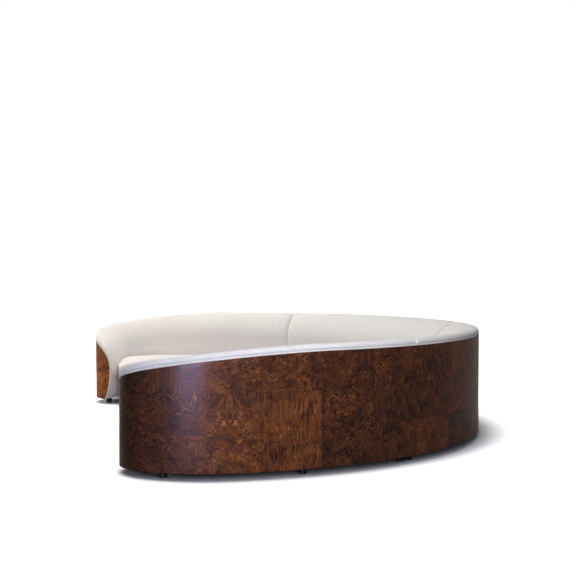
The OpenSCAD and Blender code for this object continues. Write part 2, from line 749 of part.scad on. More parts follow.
module left_middle_seat_pad() { left() middle_seat_pad(); }
module left_middle_front_panel() { left() middle_front_panel(); }
module left_middle_welt() { left() middle_welt(); }
module left_middle_dust_cover() { left() middle_dust_cover(); }
module left_middle_feet() { left() feet(middle_foot_spots); }
module left_middle_jaws() { left_middle_jaw_set(); }
module right_middle_shell() { middle_shell(); }
module right_middle_base() { middle_base(); }
module right_middle_ribs() { middle_rib_set(); }
module right_middle_end_boards() { middle_end_boards(); }
module right_middle_cap_rail() { middle_cap_rail(); }
module right_middle_back_sheet() { middle_back_sheet(); }
module right_middle_back_pad() { middle_back_pad(); }
module right_middle_seat_rails() { middle_seat_rails(); }
module right_middle_webbing() { middle_webbing(); }
module right_middle_seat_pad() { middle_seat_pad(); }
module right_middle_front_panel() { middle_front_panel(); }
module right_middle_welt() { middle_welt(); }
module right_middle_dust_cover() { middle_dust_cover(); }
module right_middle_feet() { feet(middle_foot_spots); }
module right_middle_connectors() { right_middle_connector_set(); }
module right_arm_shell() { arm_shell(); }
module right_arm_base() { arm_base(); }
module right_arm_ribs() { arm_rib_set(); }
module right_arm_end_boards() { arm_end_boards(); }
module right_arm_cap_rail() { arm_cap_rail(); }
module right_arm_back_sheet() { arm_back_sheet(); }
module right_arm_back_pad() { arm_back_pad(); }
module right_arm_seat_rails() { arm_seat_rails(); }
module right_arm_webbing() { arm_webbing(); }
module right_arm_seat_pad() { arm_seat_pad(); }
module right_arm_front_panel() { arm_front_panel(); }
module right_arm_welt() { arm_welt(); }
module right_arm_dust_cover() { arm_dust_cover(); }
module right_arm_feet() { feet(arm_foot_spots); }
module right_arm_pins() { arm_pins(); }

left_arm_shell();
left_arm_base();
left_arm_ribs();
left_arm_end_boards();
left_arm_cap_rail();
left_arm_back_sheet();
left_arm_back_pad();
left_arm_seat_rails();
left_arm_webbing();
left_arm_seat_pad();
left_arm_front_panel();
left_arm_welt();
left_arm_dust_cover();
left_arm_feet();
left_arm_pins();
left_middle_shell();
left_middle_base();
left_middle_ribs();
left_middle_end_boards();
left_middle_cap_rail();
left_middle_back_sheet();
left_middle_back_pad();
left_middle_seat_rails();
left_middle_webbing();
left_middle_seat_pad();
left_middle_front_panel();
left_middle_welt();
left_middle_dust_cover();
left_middle_feet();
left_middle_jaws();
right_middle_shell();
right_middle_base();
right_middle_ribs();
right_middle_end_boards();
right_middle_cap_rail();
right_middle_back_sheet();
right_middle_back_pad();
right_middle_seat_rails();
right_middle_webbing();
right_middle_seat_pad();
right_middle_front_panel();
right_middle_welt();
right_middle_dust_cover();
right_middle_feet();
right_middle_connectors();
right_arm_shell();
right_arm_base();
right_arm_ribs();
right_arm_end_boards();
right_arm_cap_rail();
right_arm_back_sheet();
right_arm_back_pad();
right_arm_seat_rails();
right_arm_webbing();
right_arm_seat_pad();
right_arm_front_panel();
right_arm_welt();
right_arm_dust_cover();
right_arm_feet();
right_arm_pins();
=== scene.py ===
import bpy
import math
import numpy as np
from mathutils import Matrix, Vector


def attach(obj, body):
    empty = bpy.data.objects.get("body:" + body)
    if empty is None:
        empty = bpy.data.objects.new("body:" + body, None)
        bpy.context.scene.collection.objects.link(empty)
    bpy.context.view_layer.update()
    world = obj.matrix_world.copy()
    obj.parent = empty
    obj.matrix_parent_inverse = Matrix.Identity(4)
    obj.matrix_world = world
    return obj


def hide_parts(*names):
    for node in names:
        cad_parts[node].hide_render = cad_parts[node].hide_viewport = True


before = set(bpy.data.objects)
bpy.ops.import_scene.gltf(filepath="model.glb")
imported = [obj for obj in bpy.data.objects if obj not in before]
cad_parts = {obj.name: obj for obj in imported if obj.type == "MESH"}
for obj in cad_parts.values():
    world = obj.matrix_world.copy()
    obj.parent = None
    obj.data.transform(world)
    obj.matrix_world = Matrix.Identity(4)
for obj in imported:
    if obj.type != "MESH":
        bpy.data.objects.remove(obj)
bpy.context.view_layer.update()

# The sofa's plan and heights in millimetres, as in part.scad. A place on it is given by t, the
# length along the outer face from the middle of the back, o, the depth inward from that face,
# and z. Everything is made on the right, and the left sections are mirrored.
RADII = (1990.0, 2190.0, 750.0, 250.0)
TURNS = (58.0, 34.0, 42.0, 100.0)
SOFA_DEPTH, CORNER_R, SETBACK = 900.0, 230.0, 187.0
FOOT_H, WOOD_TOP, RIM_H, NOSE_Z, BOW_R = 45.0, 720.0, 42.0, 264.0, 480.0
SLOPE_START, SEAT_H, SEAT_CROWN, DECK_H = 2660.0, 388.0, 16.0, 232.0
BACK_THICK, ARM_THICK, NOSE_THICK = 250.0, 190.0, 150.0
EDGE_R, WELT_R, SWELL, SHELL_T = 42.0, 4.5, 12.0, 18.0
SOFT_GAP, FIT_GAP = 1.5, 0.5
FALL_P, FALL_Q = 1.65, 3.2  # powers of the curve on which the top edge comes down
NOSE_LEN, NOSE_LEAD, RIM_LEAST = 89.0, 75.0, 15.0
HOOK, CREST_O, ROLL_N, ROLL_FULL, REAR_SHARE = 84.0, 34.0, 1.65, 282.0, 0.5
WELT_SIDE = 2.4 * WELT_R
FRAME_O = SHELL_T + SOFT_GAP
PANEL_T, FRONT_O = 16.0, SOFA_DEPTH - 12.0

# Not in part.scad or not the same there, in millimetres where it isn't a share or a count
HALF_GAP = 0.1  # half the slit between two sections, so close that no light shows in it
FACE_SHARE = 0.965  # how far toward the inner line the back's roll reaches
ROLL_SHARE, ROLL_LEAST = 0.76, 16.0  # the roll's height as a share of the CAD's, and its least
ROLL_SLOPE = 0.6  # how much lower the roll is for each millimetre that the wood comes down
ROLL_STEPS = 30  # points on the roll
WOOD_CLEAR = 0.8  # between the wood's top edge and the pad
# How much fuller the rim is near the nose, over which shares of the slope, and the power of
# its last taper
RIM_FULLER, FULLER_FROM, FULLER_OVER, RIM_TAPER = 13.0, 0.5, 0.32, 18
SEAM_W, SEAM_DEEP = 42.0, 20.0  # where a seam draws the cloth in
SEAM_STEPS = [SEAM_W * (1 - math.cos(math.pi / 2 * i / 10)) for i in range(11)]
SEAM_FADE = 110.0  # the stuffing swells up to its full over this length from a seam
FIRST_STUFFED, LAST_STUFFED = 8, 4  # points of a back's ring, from its start and its end
STUFF_ALL, STUFF_FACE = 1.5, 5.5  # the stuffing's swell, and how much more on roll and face
FACE_FIRST, FACE_OVER = 24, 12  # the point of the ring where that begins, and over how many
LEFT_PHASE, SEAT_PHASE = 700, 300  # so that no two pads are uneven alike
REAR_R, FRONT_ROLL = 14.0, 92.0  # the seat's rounded rear edge and the length of its front's
CROWN_TURN, FULL_CROWN_W = 150, 300.0  # degrees of a sine over the seat, and where it's full
WAVY_FROM, WAVY_COUNT = 8, 26  # points of a seat's ring that are uneven
END_DROP, END_REACH, END_SOFT = 75.0, 70.0, 3.0  # how the arm seat's end rolls down
PUFF_OUT, PUFF_RINGS, PUFF_STEP = 9.0, 7, 3.0  # the swell of the arm's end face

TURN_FROM = np.concatenate([[0], np.cumsum(TURNS)])
LENGTHS = [r * math.radians(a) for r, a in zip(RADII, TURNS)]
LENGTH_FROM = np.concatenate([[0], np.cumsum(LENGTHS)])
JOINT, SHOULDER_END, WOOD_END = LENGTH_FROM[1], LENGTH_FROM[2], LENGTH_FROM[4]
ARM_LEN = WOOD_END - SHOULDER_END
ARM_FULL, NOSE_FROM = SHOULDER_END + 0.19 * ARM_LEN, SHOULDER_END + 0.4 * ARM_LEN
HOOK_END = WOOD_END - NOSE_LEN


def outward(turn):
    a = math.radians(turn)
    return np.array([math.sin(a), math.cos(a)])


def arc_centres():
    centres, start = [], np.zeros(2)
    for k in range(4):
        centres.append(start - RADII[k] * outward(TURN_FROM[k]))
        start = centres[k] + RADII[k] * outward(TURN_FROM[k + 1])
    depth = RADII[3] - centres[3][1]
    return [c + np.array([0, depth / 2]) for c in centres], depth


CENTRES, SOFA_Y = arc_centres()


def arc_of(t):
    return sum(t >= LENGTH_FROM[k] for k in (1, 2, 3))


def turn_at(t):
    k = arc_of(t)
    return TURN_FROM[k] + math.degrees((t - LENGTH_FROM[k]) / RADII[k])


def face(t, o=0.0):
    """The place in plan at t, the depth o inward from the outer face."""
    k = arc_of(t)
    return CENTRES[k] + (RADII[k] - o) * outward(turn_at(t))


def clamped(u):
    return max(0.0, min(1.0, u))


def ease(u):
    v = clamped(u)
    return v * v * (3 - 2 * v)


def pad_depth(t):
    thinner = ease((t - SLOPE_START) / (ARM_FULL - SLOPE_START))
    return BACK_THICK - (BACK_THICK - ARM_THICK) * thinner


NOSE_START = face(NOSE_FROM, pad_depth(NOSE_FROM))
NOSE_TURN = math.radians(turn_at(NOSE_FROM))
NOSE_BEND = NOSE_START + NOSE_LEAD * np.array([math.cos(NOSE_TURN), -math.sin(NOSE_TURN)])
NOSE_EDGE = face(WOOD_END, NOSE_THICK)


def inner(t):
    """The padding's inner line: beside the outer face, then on one bend to the nose."""
    if t <= NOSE_FROM:
        return face(t, pad_depth(t))
    v = min(1.0, (t - NOSE_FROM) / (WOOD_END + SWELL - NOSE_FROM))
    return (1 - v) ** 2 * NOSE_START + 2 * v * (1 - v) * NOSE_BEND + v * v * NOSE_EDGE


def depth_at(t):
    return float(np.linalg.norm(inner(t) - face(t)))


def inward(t):
    return (inner(t) - face(t)) / depth_at(t)


def section(t, pairs):
    """Points in metres for (o, z) pairs on the line from the outer face to the inner line."""
    p, d, q = face(t), inward(t), np.asarray(pairs, float)
    return np.column_stack([p[0] + d[0] * q[:, 0], p[1] + d[1] * q[:, 0], q[:, 1]]) / 1000


def along(t, swell=0.0):
    """The share of the way from the slope's start to the wood's end, or to swell beyond it."""
    return clamped((t - SLOPE_START) / (WOOD_END + swell - SLOPE_START))


def top_edge(t, swell=0.0):
    return NOSE_Z + (WOOD_TOP - NOSE_Z) * (1 - along(t, swell) ** FALL_P) ** (1 / FALL_Q)


def low_edge(t, swell=0.0):
    e = max(0.0, WOOD_END + swell - t)
    return FOOT_H if e >= BOW_R else max(FOOT_H, NOSE_Z - math.sqrt(2 * BOW_R * e - e * e))


def rim_at(t):
    """The rim's height, fuller where it comes down to the nose."""
    u = along(t, SWELL)
    fuller = RIM_FULLER * ease((u - FULLER_FROM) / FULLER_OVER)
    return max(RIM_LEAST, (RIM_H + fuller) * (1 - u ** RIM_TAPER))


def drawn_in(t, start, stop):
    """How far the cloth is drawn in at t, by the seams at start and stop."""
    d = min(t - start, stop - t, SEAM_W)
    return SEAM_DEEP * (1 - math.sqrt(max(0.0, 1 - (1 - d / SEAM_W) ** 2)))


def spread(start, stop, step):
    return list(np.linspace(start, stop, max(2, int(round((stop - start) / step)) + 1)))


def from_seam(start, stop, clear, step, both=False):
    """Places from a seam at start to stop, and with both, a seam at stop too."""
    near = [start + e for e in SEAM_STEPS]
    if not both:
        return near + spread(start + clear, stop, step)
    return near + spread(start + clear, stop - clear, step) + [stop - e for e in SEAM_STEPS[::-1]]


def over_nose(first, steps):
    """Places along the nose, closer together toward its front edge."""
    return [HOOK_END + NOSE_LEN * math.sin(math.radians(90 * i / steps))
            for i in range(first, math.ceil(steps))]


# Meshes: rings of points joined into a closed skin, with UVs in metres along and across
def faces_inward(co, quads, ends):
    """Whether the skin's faces point inward, by the sign of the volume that they enclose."""
    a, b, c, d = (co[quads[:, x]] for x in range(4))
    volume = np.einsum("ij,ij->i", a, np.cross(b, c) + np.cross(c, d)).sum()
    for e in ends:
        p = co[e]
        volume += p[0] @ np.cross(p[1:-1], p[2:]).sum(0)
    return volume < 0


def skin(name, rings, uvs, mirror, sharp, strip_mats=None, cap_mat=0, cap_uvs=None):
    """A closed mesh over the rings, crisp along edges that turn by more than sharp degrees."""
    m, n = len(rings), len(rings[0])
    co = np.concatenate(rings).astype(float)
    if mirror:
        co[:, 0] *= -1
    i, j = np.meshgrid(np.arange(m - 1), np.arange(n), indexing="ij")
    k = (j + 1) % n
    quads = np.stack([i * n + j, (i + 1) * n + j, (i + 1) * n + k, i * n + k], -1).reshape(-1, 4)
    uv = np.stack([uvs[:-1, :-1], uvs[1:, :-1], uvs[1:, 1:], uvs[:-1, 1:]], 2).reshape(-1, 4, 2)
    faces = quads.tolist()
    loops = [tuple(c) for q in uv for c in q]
    mats = [int(strip_mats[b]) if strip_mats is not None else 0 for b in j.ravel()]
    ends = [list(range(n)), list(range(m * n - 1, (m - 1) * n - 1, -1))]
    for e in ends:
        faces.append(e)
        mats.append(cap_mat)
        for v in e:
            loops.append((co[v][1], co[v][2]) if cap_uvs is None else tuple(cap_uvs[v % n]))
    if faces_inward(co, quads, ends):
        at, turned = 0, []
        for f in faces:
            turned += loops[at:at + len(f)][::-1]
            at += len(f)
        faces, loops = [f[::-1] for f in faces], turned
    mesh = bpy.data.meshes.new(name)
    mesh.from_pydata(co.tolist(), [], faces)
    layer = mesh.uv_layers.new(name="UVMap")
    layer.data.foreach_set("uv", np.array(loops, np.float32).ravel())
    mesh.polygons.foreach_set("use_smooth", [True] * len(faces))
    mesh.polygons.foreach_set("material_index", mats)
    mesh.validate()
    mesh.set_sharp_from_angle(angle=math.radians(sharp))
    ob = bpy.data.objects.new(name, mesh)
    bpy.context.scene.collection.objects.link(ob)
    return ob


def run_along(points):
    """The length along a line of points, at each of them."""
    return np.concatenate([[0], np.cumsum(np.linalg.norm(np.diff(points, axis=0), axis=1))])


def ring_uvs(rings, lengths, sign=1.0):
    """UVs for rings at the given lengths in millimetres, one more across than a ring has."""
    v = np.array([run_along(np.vstack([r, r[:1]])) for r in rings])
    u = np.repeat(np.array(lengths)[:, None] / 1000 * sign, v.shape[1], 1)
    return np.stack([u, v], -1)


def finish_piece(ob, section_name, nodes, mats):
    for m in mats:
        ob.data.materials.append(m)
    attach(ob, section_name)
    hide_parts(*nodes)


def smooth_line(points, n=4):
    """A Catmull-Rom line through the points, n steps between each two."""
    p = np.asarray(points, float)
    p = np.vstack([2 * p[0] - p[1], p, 2 * p[-1] - p[-2]])
    out = []
    for i in range(1, len(p) - 2):
        for s in np.linspace(0, 1, n, endpoint=False):
            a, b, c, d = p[i - 1:i + 3]
            out.append(0.5 * (2 * b + (c - a) * s + (2 * a - 5 * b + 4 * c - d) * s * s
                              + (3 * b - a - 3 * c + d) * s ** 3))
    out.append(p[-2])
    return [tuple(q) for q in out]


class Paint:
    """Builds the shader nodes of a material or of the world."""

    def __init__(self, owner):
        self.owner = owner
        owner.use_nodes = True
        self.tree = owner.node_tree
        self.tree.nodes.clear()

    def set(self, socket, value):
        if isinstance(value, bpy.types.NodeSocket):
            self.tree.links.new(value, socket)
        else:
            socket.default_value = value

    def put(self, kind, inputs=None, out=0, **settings):
        n = self.tree.nodes.new("ShaderNode" + kind)
        for key, value in settings.items():
            setattr(n, key, value)
        for key, value in (inputs or {}).items():
            self.set(n.inputs[key], value)
        return n.outputs[out] if len(n.outputs) else None

    def outputs(self, kind):
        return self.tree.nodes.new("ShaderNode" + kind).outputs

    def calc(self, op, a, b=0.0, c=0.0, clamp=False):
        return self.put("Math", {0: a, 1: b, 2: c}, operation=op, use_clamp=clamp)

    def plus(self, a, b):
        return self.calc("ADD", a, b)

    def less(self, a, b):
        return self.calc("SUBTRACT", a, b)

    def times(self, a, b):
        return self.calc("MULTIPLY", a, b)

    def weigh(self, a, weight, rest=0.0):
        """a times weight, plus the rest."""
        return self.calc("MULTIPLY_ADD", a, weight, rest)

    def waves(self, a, length):
        return self.calc("SINE", self.times(a, 2 * math.pi / length))

    def vec(self, op, a, b=(0, 0, 0), scale=None):
        i = {0: a, 1: b} if scale is None else {0: a, 3: scale}
        return self.put("VectorMath", i, operation=op)

    def join(self, x, y, z=0.0):
        return self.put("CombineXYZ", {0: x, 1: y, 2: z})

    def split(self, v):
        n = self.tree.nodes.new("ShaderNodeSeparateXYZ")
        self.tree.links.new(v, n.inputs[0])
        return n.outputs

    def noise(self, v, scale, detail=4.0, rough=0.5, distortion=0.0, out=0):
        return self.put("TexNoise", {"Vector": v, "Scale": scale, "Detail": detail,
                                     "Roughness": rough, "Distortion": distortion}, out=out)

    def streaks(self, scaled, detail, rough, distortion=0.0, rest=()):
        """Noise drawn out: pairs of a coordinate and its scale, then those left as they are."""
        v = [self.times(a, scale) for a, scale in scaled]
        return self.noise(self.join(*v, *rest), 1.0, detail, rough, distortion)

    def cells(self, v, scale):
        return self.put("TexVoronoi", {"Vector": v, "Scale": scale}, feature="F1")

    def ramp(self, f, stops):
        n = self.tree.nodes.new("ShaderNodeValToRGB")
        self.tree.links.new(f, n.inputs[0])
        e = n.color_ramp.elements
        while len(e) < len(stops):
            e.new(0.5)
        for x, (at, colour) in zip(e, stops):
            x.position = at
            x.color = (*colour, 1)
        return n.outputs[0]

    def span(self, f, a, b, c=0.0, d=1.0, smooth=False):
        return self.put("MapRange", {"Value": f, "From Min": a, "From Max": b, "To Min": c,
                                     "To Max": d}, clamp=True,
                        interpolation_type="SMOOTHSTEP" if smooth else "LINEAR")

    def mix(self, f, a, b):
        n = self.tree.nodes.new("ShaderNodeMix")
        n.data_type = "RGBA"
        for key, value in ((0, f), (6, a), (7, b)):
            self.set(n.inputs[key], (*value, 1) if isinstance(value, tuple) else value)
        return n.outputs[2]

    def uv(self):
        n = self.tree.nodes.new("ShaderNodeUVMap")
        n.uv_map = "UVMap"
        return n.outputs[0]

    def place(self):
        return self.outputs("TexCoord")["Object"]

    def rays(self):
        """Whether the camera sees a place, and whether a mirror or glass does."""
        rays = self.outputs("LightPath")
        mirrored = self.calc("MAXIMUM", rays["Is Glossy Ray"], rays["Is Transmission Ray"])
        return rays["Is Camera Ray"], mirrored

    def end(self, colour, bump, depth, strength, **values):
        normal = self.put("Bump", {"Height": bump, "Distance": depth, "Strength": strength})
        i = {k.replace("_", " "): v for k, v in values.items()}
        shader = self.put("BsdfPrincipled", {"Base Color": colour, "Normal": normal, **i})
        self.put("OutputMaterial", {"Surface": shader})
        return self.owner


def material(name):
    return Paint(bpy.data.materials.new(name))


def fabric():
    """Ivory cloth of slubbed yarns in a plain weave, with a soft sheen."""
    p = material("ivory_weave")
    uv = p.uv()
    u, v, _ = p.split(uv)
    two_yarns = 0.0042
    over = p.weigh(p.times(p.waves(u, two_yarns), p.waves(v, two_yarns)), 0.5, 0.5)
    warp = p.streaks([(u, 420.0), (v, 16.0)], 3.0, 0.6)
    weft = p.streaks([(u, 16.0), (v, 420.0)], 3.0, 0.6, rest=(7.0,))
    slub = p.weigh(p.plus(warp, weft), 0.5)
    thick = p.streaks([(u, 75.0), (v, 9.0)], 2.0, 0.5)
    thin = p.streaks([(u, 9.0), (v, 75.0)], 2.0, 0.5, rest=(3.0,))
    slubs = p.plus(p.plus(thick, thin), -1.0)
    cloud = p.noise(uv, 3.0, 3.0, 0.5)
    fuzz = p.noise(uv, 900.0, 2.0, 0.6)
    tone = p.plus(p.times(p.less(slub, 0.5), 0.30), p.times(p.less(cloud, 0.5), 0.10))
    tone = p.plus(tone, p.times(p.less(over, 0.5), 0.06))
    tone = p.weigh(slubs, 0.35, tone)
    tone = p.calc("ADD", tone, 0.5, clamp=True)
    colour = p.ramp(tone, [(0.0, (0.57, 0.545, 0.50)), (0.5, (0.765, 0.74, 0.695)),
                           (1.0, (0.86, 0.84, 0.80))])
    height = p.plus(p.times(over, 0.6), p.plus(p.times(slub, 0.9), p.times(fuzz, 0.2)))
    return p.end(colour, height, 0.00045, 0.7, Roughness=0.88, Sheen_Weight=0.12,
                 Sheen_Roughness=0.45, Specular_IOR_Level=0.25)


def cord_cloth():
    """The same cloth cut on the bias round the welt cord, so its yarns wind round it."""
    p = material("ivory_welt")
    u, v, _ = p.split(p.uv())
    two_yarns = 0.0036
    slant = p.times(v, 0.9)
    a, b = p.waves(p.plus(u, slant), two_yarns), p.waves(p.less(u, slant), two_yarns)
    over = p.weigh(p.times(a, b), 0.5, 0.5)
    fine = p.noise(p.uv(), 600.0, 3.0, 0.6)
    tone = p.plus(p.times(over, 0.35), p.times(fine, 0.65))
    colour = p.ramp(tone, [(0.2, (0.76, 0.71, 0.62)), (0.8, (0.94, 0.90, 0.83))])
    return p.end(colour, tone, 0.0005, 0.7, Roughness=0.88, Sheen_Weight=0.12,
                 Specular_IOR_Level=0.25)


# The veneer's squares: width and height in metres, and what sets their random numbers
SQUARE_W, SQUARE_H, SQUARE_ROWS = 0.3663, 0.225, 3
COLUMN_SHIFT, SQUARE_SEED = 40.0, 3302.375
# How much each layer of the figure adds, where less is darker
BURL_VEIN, BURL_GLINT, BURL_MOTTLE, BURL_EYE = -1.9, 1.35, 4.6, -0.8
GRAIN_LINE, GRAIN_GLEAM, GRAIN_STREAK = -1.6, 0.9, 4.6
CLOUDS, BY_SQUARE = -0.85, 0.8
# The last four: painted shade past the arm's seam, less of it on the middles, painted shade on the
# right nose and painted light on the left nose
SEAM_SIDE_SHADE, MIDDLES_LESS_SHADE, RIGHT_NOSE_SHADE, LEFT_NOSE_LIGHT = -0.85, 0.4, -0.95, 1.2
NEARLY_BLACK = (0.006, 0.002, 0.001)


def veneer_squares(p, t, z, length):
    """A place's share across and up its square, and two sets of that square's random numbers."""
    col = p.weigh(p.less(length, JOINT / 1000), 1 / SQUARE_W, COLUMN_SHIFT)
    row = p.weigh(z, 1 / SQUARE_H, -FOOT_H / 1000 / SQUARE_H)
    row = p.calc("MINIMUM", p.calc("MAXIMUM", row, 0.001), SQUARE_ROWS - 0.001)
    c, r = p.calc("FLOOR", col), p.calc("FLOOR", row)
    seed = p.join(c, r, p.weigh(p.calc("SIGN", t), 3.0, SQUARE_SEED))
    dice, odd = (p.put("TexWhiteNoise", {"Vector": s}, out=1, noise_dimensions="3D")
                 for s in (seed, p.vec("ADD", seed, (17.0, 5.0, 0.0))))
    return p.less(col, c), p.less(row, r), dice, odd


def burl_figure(p, bent, lit):
    """Growth lines that curl round small eyes, over a fine mottle."""
    curl = p.calc("ABSOLUTE", p.calc("SINE", p.times(p.noise(bent, 13.0, 1.0, 0.4, 2.2), 20.0)))
    vein = p.span(curl, 0.0, 0.6, 1.0, 0.0, smooth=True)
    glint = p.span(curl, 0.82, 1.0, smooth=True)
    broken = p.span(p.noise(bent, 10.0, 2.0, 0.5), 0.36, 0.56)
    mottle = p.less(p.noise(bent, 28.0, 2.5, 0.55, 3.0), 0.5)
    eye = p.span(p.cells(bent, 26.0), 0.10, 0.26, 1.0, 0.0, smooth=True)
    figure = p.weigh(p.times(vein, broken), BURL_VEIN, 0.35)
    figure = p.weigh(p.times(glint, lit), BURL_GLINT, figure)
    return p.weigh(eye, BURL_EYE, p.weigh(mottle, BURL_MOTTLE, figure))


def straight_figure(p, here, lit):
    """Long upright grain that parts round lens-shaped knots."""
    x, y, z = p.split(here)
    lens = p.streaks([(x, 13.0), (y, 4.2)], 1.0, 0.4, 0.3, rest=(z,))
    bar = p.calc("ABSOLUTE", p.calc("SINE", p.times(lens, 30.0)))
    line = p.span(bar, 0.0, 0.45, 1.0, 0.0, smooth=True)
    gleam = p.times(p.span(bar, 0.82, 1.0, smooth=True), lit)
    shown = p.span(p.noise(here, 9.0, 2.0, 0.5), 0.42, 0.58)
    streak = p.streaks([(x, 110.0), (y, 13.0)], 4.0, 0.60, 0.5, rest=(z,))
    figure = p.weigh(p.times(line, shown), GRAIN_LINE, 0.05)
    figure = p.weigh(gleam, GRAIN_GLEAM, figure)
    return p.weigh(p.less(streak, 0.5), GRAIN_STREAK, figure)


def veneer():
    """Squares of lacquered walnut burl, laid in three rows and matched at their joints."""
    p = material("burl_veneer")
    uv = p.uv()
    t, z, _ = p.split(uv)
    length = p.calc("ABSOLUTE", t)
    across, up, dice, odd = veneer_squares(p, t, z, length)
    _, lean_draw, tone_draw = p.split(dice)
    fold_draw, fold_at, _ = p.split(odd)
    # Some squares are matched about a line near their middle, the others run on as cut
    folded = p.calc("ABSOLUTE", p.less(across, p.weigh(fold_at, 0.4, 0.15)))
    is_folded = p.calc("GREATER_THAN", fold_draw, 0.72)
    local_u = p.times(p.put("Mix", {0: is_folded, 2: across, 3: folded}), SQUARE_W)
    local = p.join(local_u, p.times(up, SQUARE_H))
    here = p.vec("ADD", local, p.vec("SCALE", dice, scale=11.0))
    drift = p.vec("SUBTRACT", p.noise(here, 7.0, 3.0, 0.55, 0.4, out=1), (0.5, 0.5, 0.5))
    bent = p.vec("ADD", here, p.vec("SCALE", drift, scale=0.10))
    eased = p.vec("ADD", here, p.vec("SCALE", drift, scale=0.035))
    lit = p.span(p.noise(p.vec("ADD", bent, (3.0, 5.0, 1.0)), 12.0, 2.0, 0.5), 0.44, 0.60)
    burl, straight = burl_figure(p, bent, lit), straight_figure(p, eased, lit)
    patch = p.noise(here, 7.0, 3.0, 0.55, 0.9)
    lean = p.plus(p.less(patch, 0.5), p.weigh(lean_draw, 0.50, -0.30))
    share = p.span(lean, -0.04, 0.05, smooth=True)
    # Toward the middle of the back the figure is mostly upright
    share = p.calc("MAXIMUM", share, p.span(length, 1.95, 1.4, 0.0, 0.9, smooth=True))
    figure = p.put("Mix", {0: share, 2: burl, 3: straight})
    clouds = p.span(p.noise(bent, 9.0, 3.0, 0.6, 1.2), 0.46, 0.66, smooth=True)
    figure = p.weigh(clouds, CLOUDS, figure)
    figure = p.plus(figure, p.weigh(tone_draw, BY_SQUARE, -BY_SQUARE / 2))
    # Painted shade: the wood is darker up to two squares past the arm's seam, less so on the
    # middle sections. The right arm's nose has painted shade too, and painted light makes the left
    # arm's paler.
    shaded_past_seam = p.calc("LESS_THAN", length, JOINT / 1000 + 2 * SQUARE_W)
    figure = p.weigh(shaded_past_seam, SEAM_SIDE_SHADE, figure)
    figure = p.weigh(p.calc("LESS_THAN", length, JOINT / 1000), MIDDLES_LESS_SHADE, figure)
    # Painted shade on the right arm's nose
    nose = p.times(p.span(length, 3.45, 3.95), p.calc("GREATER_THAN", t, 0.0))
    figure = p.weigh(nose, RIGHT_NOSE_SHADE, figure)
    # Painted light on the left arm's nose
    pale = p.times(p.span(length, 3.9, 4.05), p.calc("LESS_THAN", t, 0.0))
    figure = p.weigh(pale, LEFT_NOSE_LIGHT, figure)
    value = p.calc("MULTIPLY_ADD", figure, 0.18, 0.50, clamp=True)
    colour = p.ramp(value, [(0.0, (0.010, 0.005, 0.005)), (0.22, (0.029, 0.013, 0.010)),
                            (0.42, (0.076, 0.026, 0.012)), (0.58, (0.140, 0.043, 0.016)),
                            (0.78, (0.27, 0.092, 0.028)), (1.0, (0.50, 0.22, 0.075))])
    bent_x, bent_y, _ = p.split(bent)
    pores = p.streaks([(bent_x, 900.0), (bent_y, 260.0)], 2.0, 0.5)
    pore = p.span(pores, 0.60, 0.72, 0.0, 0.45, smooth=True)
    colour = p.mix(pore, colour, NEARLY_BLACK)
    # Fine dark joints between the squares
    edges = [p.times(p.calc("MINIMUM", part, p.less(1.0, part)), size)
             for part, size in ((across, SQUARE_W), (up, SQUARE_H))]
    joint = p.span(p.calc("MINIMUM", *edges), 0.0003, 0.0014, 0.7, 0.0, smooth=True)
    colour = p.mix(joint, colour, NEARLY_BLACK)
    haze = p.noise(uv, 2.5, 3.0, 0.6)
    height = p.plus(p.plus(p.times(pore, -0.6), p.times(joint, -1.0)), p.times(haze, 0.4))
    rough = p.span(haze, 0.3, 0.7, 0.34, 0.46)
    return p.end(colour, height, 0.00025, 0.5, Roughness=rough, Specular_IOR_Level=0.028,
                 Specular_Tint=(1.0, 0.75, 0.55, 1.0), Coat_Weight=0.02, Coat_Roughness=0.22,
                 Coat_IOR=1.5)


def plywood(name, lies_flat):
    """Birch ply: long pale grain on its faces and thin plies along its cut edges."""
    p = material(name)
    x, y, z = p.split(p.place())
    upward = p.calc("ABSOLUTE", p.split(p.outputs("NewGeometry")["Normal"])[2])
    if lies_flat:
        grain = p.streaks([(x, 5.0), (y, 90.0)], 5.0, 0.6, 0.6)
        plies = p.waves(z, 0.0042)
        edge = p.span(upward, 0.3, 0.7, 1.0, 0.0)
    else:
        across = p.plus(x, y)
        grain = p.streaks([(across, 60.0), (z, 6.0), (x, 20.0)], 5.0, 0.6, 0.6)
        plies = p.waves(across, 0.0052)
        edge = p.span(upward, 0.3, 0.7)
    plain = p.ramp(grain, [(0.25, (0.42, 0.26, 0.13)), (0.5, (0.60, 0.42, 0.24)),
                           (0.8, (0.70, 0.53, 0.33))])
    layered = p.ramp(p.weigh(plies, 0.5, 0.5),
                     [(0.3, (0.33, 0.19, 0.09)), (0.6, (0.62, 0.45, 0.27))])
    return p.end(p.mix(edge, plain, layered), grain, 0.0003, 0.6, Roughness=0.6,
                 Specular_IOR_Level=0.3)


def shell_edge():
    """The shell's cut ends: its bent plies, stained dark, in layers through its thickness."""
    p = material("bent_plies")
    u, v, _ = p.split(p.uv())
    wobble = p.noise(p.uv(), 12.0, 3.0, 0.5)
    layer = p.waves(p.plus(u, p.times(wobble, 0.0006)), 0.0030)
    grain = p.streaks([(u, 500.0), (v, 30.0)], 4.0, 0.6)
    tone = p.plus(p.weigh(layer, 0.3, 0.3), p.times(grain, 0.4))
    colour = p.ramp(tone, [(0.1, (0.030, 0.012, 0.007)), (0.9, (0.11, 0.048, 0.022))])
    return p.end(colour, tone, 0.0002, 0.6, Roughness=0.6, Specular_IOR_Level=0.3)


def shell_inside():
    """The shell's unseen inner face: plain sawn core veneer."""
    p = material("core_face")
    u, v, _ = p.split(p.uv())
    grain = p.streaks([(u, 110.0), (v, 5.0)], 5.0, 0.6, 0.5)
    colour = p.ramp(grain, [(0.25, (0.40, 0.25, 0.13)), (0.75, (0.64, 0.47, 0.29))])
    return p.end(colour, grain, 0.0003, 0.6, Roughness=0.62, Specular_IOR_Level=0.3)


